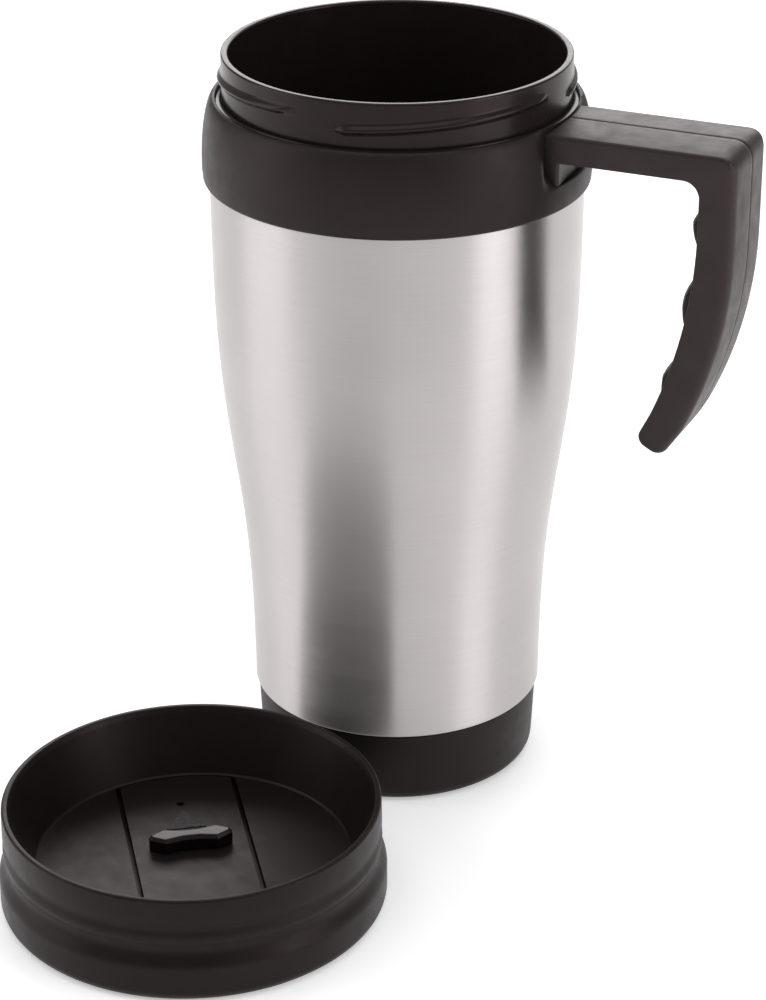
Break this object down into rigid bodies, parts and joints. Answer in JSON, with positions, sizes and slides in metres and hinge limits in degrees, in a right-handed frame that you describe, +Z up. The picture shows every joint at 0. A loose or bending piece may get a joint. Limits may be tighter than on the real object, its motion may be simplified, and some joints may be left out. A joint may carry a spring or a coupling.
{
  "type": "insulated travel mug",
  "caption": "Insulated steel travel mug with a swelling S-shaped body, black collar and side handle, standing open beside its screw-on sip lid with a sliding cover.",
  "frame": {"origin": "centre of the mug's underside, on the surface it stands on", "axes": "+Z up along the mug's axis, +X towards the handle, +Y to the handle's left"},
  "size_m": [0.1418, 0.1726, 0.1767],
  "materials": {
    "brushed_steel": "fine brushing round the body",
    "gloss_black": "glossy moulded plastic",
    "matte_black": "satin moulded plastic",
    "handle_black": "fine moulded texture",
    "grip_black": "fine moulded texture",
    "lid_black": "satin moulded plastic",
    "rubber": "matte",
    "silicone": "matte",
    "foam": "rigid closed-cell foam"
  },
  "bodies": {
    "mug": {"outer_shell": "brushed_steel", "inner_liner": "gloss_black", "insulation_sleeve": "foam", "collar": "matte_black", "collar_seal": "silicone", "base_cup": "matte_black", "base_seal": "silicone", "base_pad": "rubber", "handle_half_left": "handle_black", "handle_half_right": "handle_black", "finger_grip": "grip_black"},
    "lid_seal": {"lid_gasket": "silicone"},
    "lid": {"lid_bowl": "lid_black", "lid_skirt": "lid_black"},
    "slider": {"slider_plate": "lid_black", "slider_knob": "gloss_black", "slider_seal": "silicone", "slider_clip": "lid_black"}
  },
  "joints": [
    {"name": "lid_lift", "type": "slide", "parent": "mug", "child": "lid_seal", "axis": [-0.0088, -0.0516, 0.9986], "range_m": [0, 0.19]},
    {"name": "lid_turn", "type": "hinge", "parent": "lid_seal", "child": "lid", "pos_m": [-0.01441, -0.08428, 0], "axis": [0, 0, 1], "continuous": true},
    {"name": "slider_travel", "type": "slide", "parent": "lid", "child": "slider", "axis": [0.5606, -0.8281, 0], "range_m": [0, 0.012]}
  ]
}
